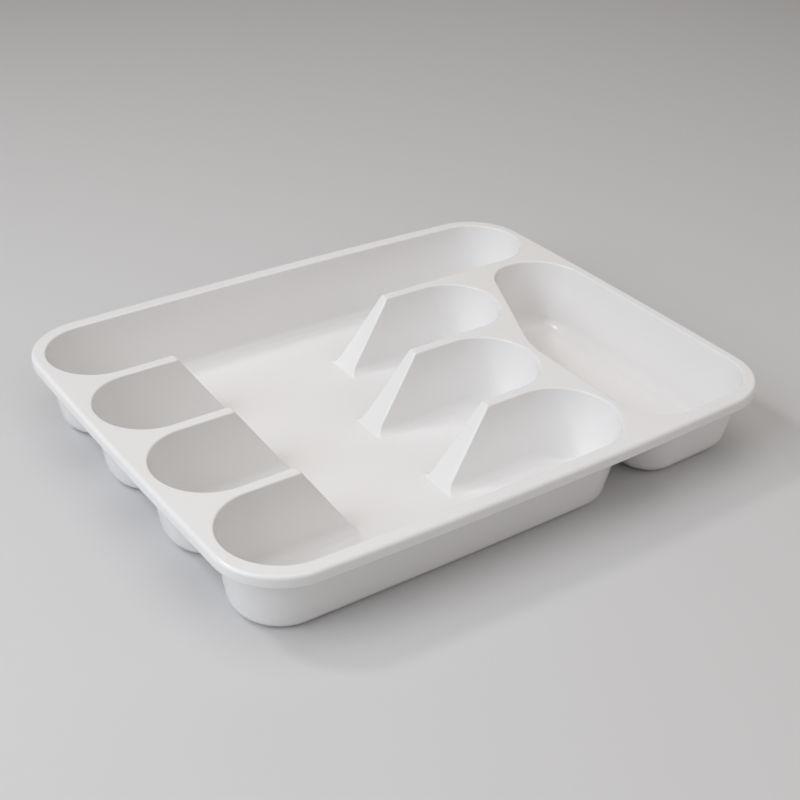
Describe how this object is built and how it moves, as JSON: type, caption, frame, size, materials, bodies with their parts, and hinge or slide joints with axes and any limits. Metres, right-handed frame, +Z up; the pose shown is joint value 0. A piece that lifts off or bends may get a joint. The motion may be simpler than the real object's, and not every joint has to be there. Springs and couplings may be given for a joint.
{
  "type": "drawer organizer insert",
  "caption": "Cutlery tray for a drawer: round-ended lanes that open onto a shared middle floor, sloping dividers, a side pan with a slanted wall, and a turned-down rim.",
  "frame": {"origin": "centre of the tray's plan, on the plane that it stands on", "axes": "+X along the lanes towards the side pan, +Y towards the longest lane, +Z up out of the pockets"},
  "size_m": [0.34, 0.27, 0.044],
  "materials": {
    "white_plastic": "off-white polypropylene with a soft gloss"
  },
  "bodies": {
    "root": {"tray": "white_plastic"}
  },
  "joints": []
}
